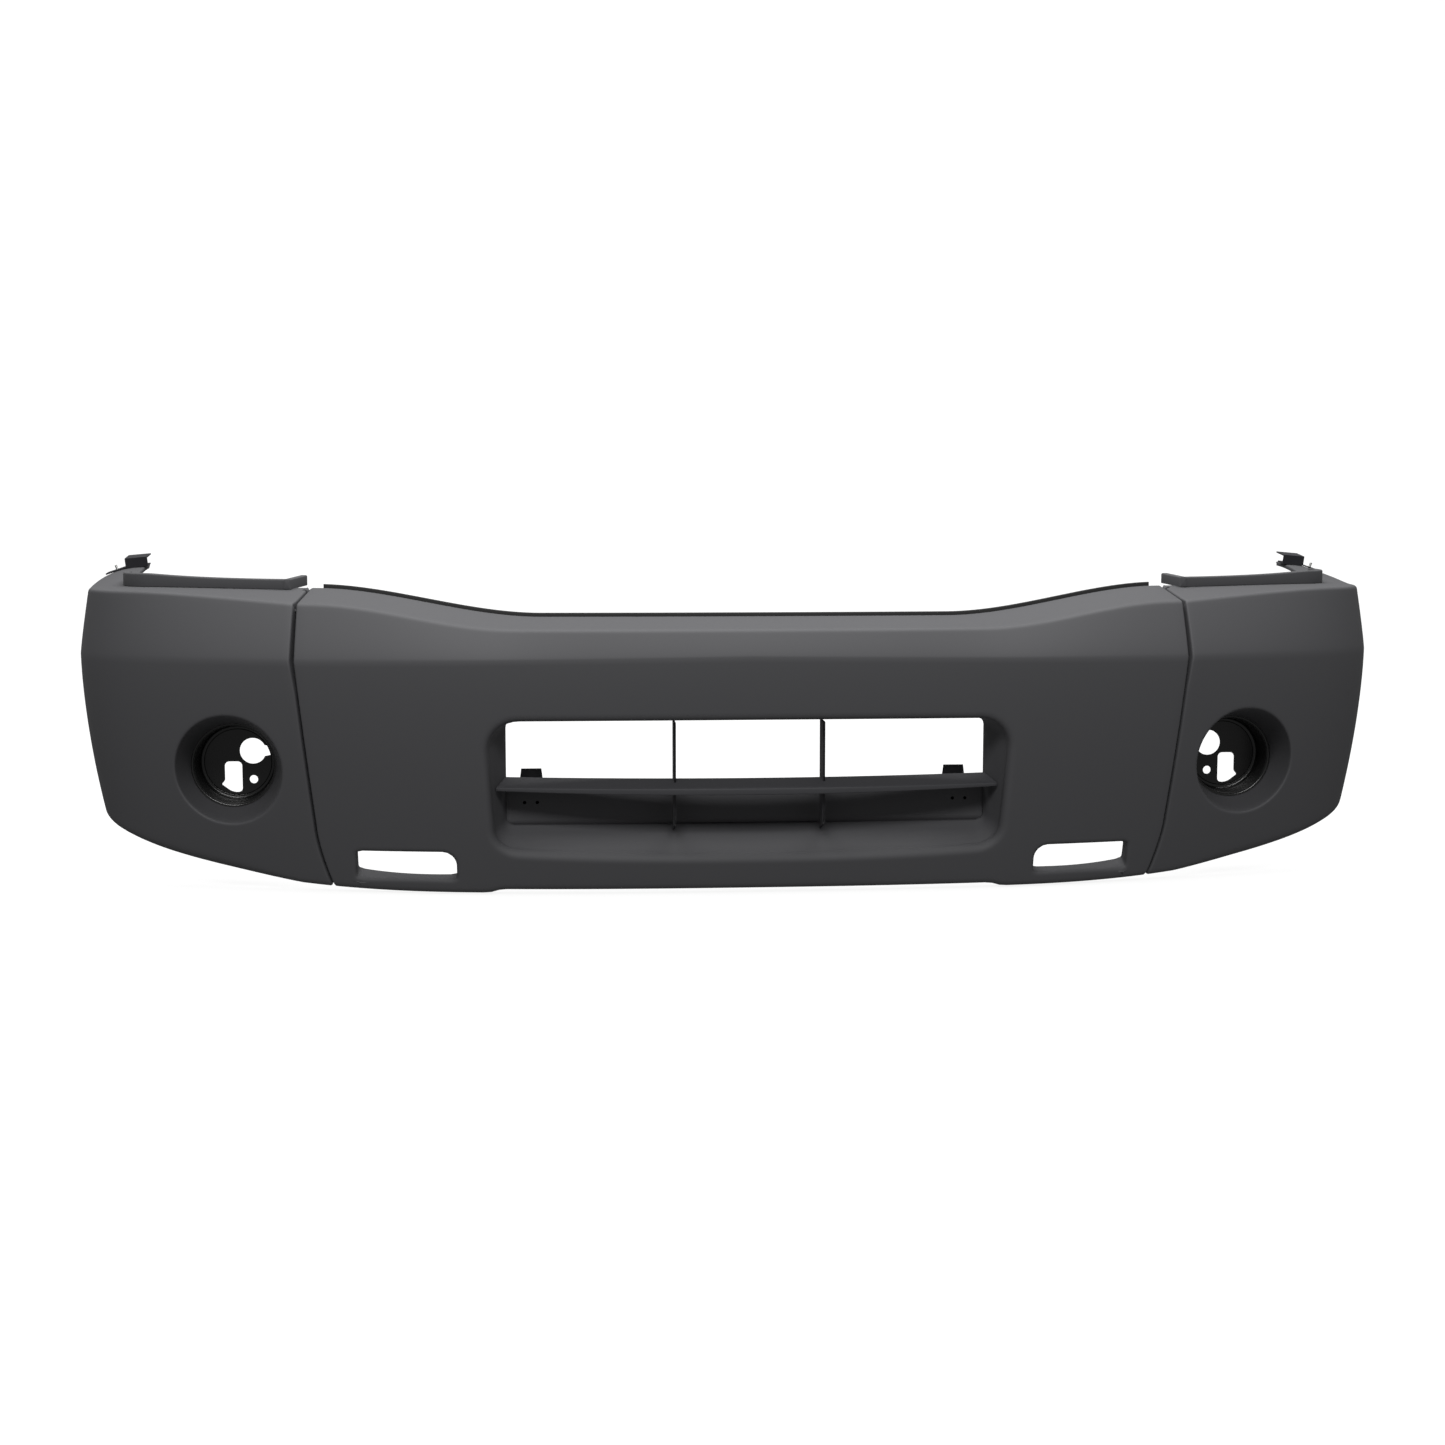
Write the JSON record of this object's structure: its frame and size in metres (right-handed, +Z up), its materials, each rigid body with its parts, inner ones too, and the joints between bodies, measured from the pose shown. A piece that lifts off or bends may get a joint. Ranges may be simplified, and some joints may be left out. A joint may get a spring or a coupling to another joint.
{
  "type": "bumper cover",
  "caption": "Front bumper cover of a light truck: centre cover with a lower air intake and tow-hook openings, and wrap-round end covers with fog-lamp pockets.",
  "frame": {"origin": "centre of the underside of the upper mounting flange", "axes": "+Z up, the nose faces -Y, +X is the vehicle's left-hand side"},
  "size_m": [1.9566, 0.5077, 0.4694],
  "materials": {
    "cover_plastic": "satin charcoal moulded-in colour with a fine grain",
    "vane_plastic": "grained dark grey",
    "pocket_plastic": "smooth black",
    "trim_plastic": "plain black",
    "bracket_steel": "black e-coat",
    "fastener_steel": "zinc plated"
  },
  "bodies": {
    "bumper": {"centre_cover": "cover_plastic", "end_cover_lh": "cover_plastic", "end_cover_rh": "cover_plastic", "fender_bracket_lh": "bracket_steel", "fender_bracket_rh": "bracket_steel", "fender_bracket_screw_lh_1": "fastener_steel", "fender_bracket_screw_lh_2": "fastener_steel", "fender_bracket_screw_rh_1": "fastener_steel", "fender_bracket_screw_rh_2": "fastener_steel", "filler_screw_lh_1": "fastener_steel", "filler_screw_lh_2": "fastener_steel", "filler_screw_rh_1": "fastener_steel", "filler_screw_rh_2": "fastener_steel", "fog_lamp_pocket_lh": "pocket_plastic", "fog_lamp_pocket_rh": "pocket_plastic", "fog_pocket_screw_lh_1": "fastener_steel", "fog_pocket_screw_lh_2": "fastener_steel", "fog_pocket_screw_lh_3": "fastener_steel", "fog_pocket_screw_rh_1": "fastener_steel", "fog_pocket_screw_rh_2": "fastener_steel", "fog_pocket_screw_rh_3": "fastener_steel", "headlamp_filler_lh": "cover_plastic", "headlamp_filler_rh": "cover_plastic", "intake_vane": "vane_plastic", "retainer_body_lh_1": "trim_plastic", "retainer_body_lh_2": "trim_plastic", "retainer_body_rh_1": "trim_plastic", "retainer_body_rh_2": "trim_plastic", "seam_bolt_lh_1": "fastener_steel", "seam_bolt_lh_2": "fastener_steel", "seam_bolt_lh_3": "fastener_steel", "seam_bolt_rh_1": "fastener_steel", "seam_bolt_rh_2": "fastener_steel", "seam_bolt_rh_3": "fastener_steel", "seam_nut_lh_1": "fastener_steel", "seam_nut_lh_2": "fastener_steel", "seam_nut_lh_3": "fastener_steel", "seam_nut_rh_1": "fastener_steel", "seam_nut_rh_2": "fastener_steel", "seam_nut_rh_3": "fastener_steel", "upper_retainer_strip": "trim_plastic", "vane_bracket_lh": "bracket_steel", "vane_bracket_rh": "bracket_steel", "vane_bracket_screw_lh_1": "fastener_steel", "vane_bracket_screw_lh_2": "fastener_steel", "vane_bracket_screw_rh_1": "fastener_steel", "vane_bracket_screw_rh_2": "fastener_steel", "vane_screw_lh": "fastener_steel", "vane_screw_rh": "fastener_steel"},
    "retainer_pin_lh_1": {"retainer_pin_lh_1": "trim_plastic"},
    "retainer_pin_lh_2": {"retainer_pin_lh_2": "trim_plastic"},
    "retainer_pin_rh_1": {"retainer_pin_rh_1": "trim_plastic"},
    "retainer_pin_rh_2": {"retainer_pin_rh_2": "trim_plastic"}
  },
  "joints": [
    {"name": "retainer_pin_lh_1_slide", "type": "slide", "parent": "bumper", "child": "retainer_pin_lh_1", "axis": [0, 0, 1], "range_m": [0, 0.006]},
    {"name": "retainer_pin_lh_2_slide", "type": "slide", "parent": "bumper", "child": "retainer_pin_lh_2", "axis": [0, 0, 1], "range_m": [0, 0.006]},
    {"name": "retainer_pin_rh_1_slide", "type": "slide", "parent": "bumper", "child": "retainer_pin_rh_1", "axis": [0, 0, 1], "range_m": [0, 0.006]},
    {"name": "retainer_pin_rh_2_slide", "type": "slide", "parent": "bumper", "child": "retainer_pin_rh_2", "axis": [0, 0, 1], "range_m": [0, 0.006]}
  ]
}
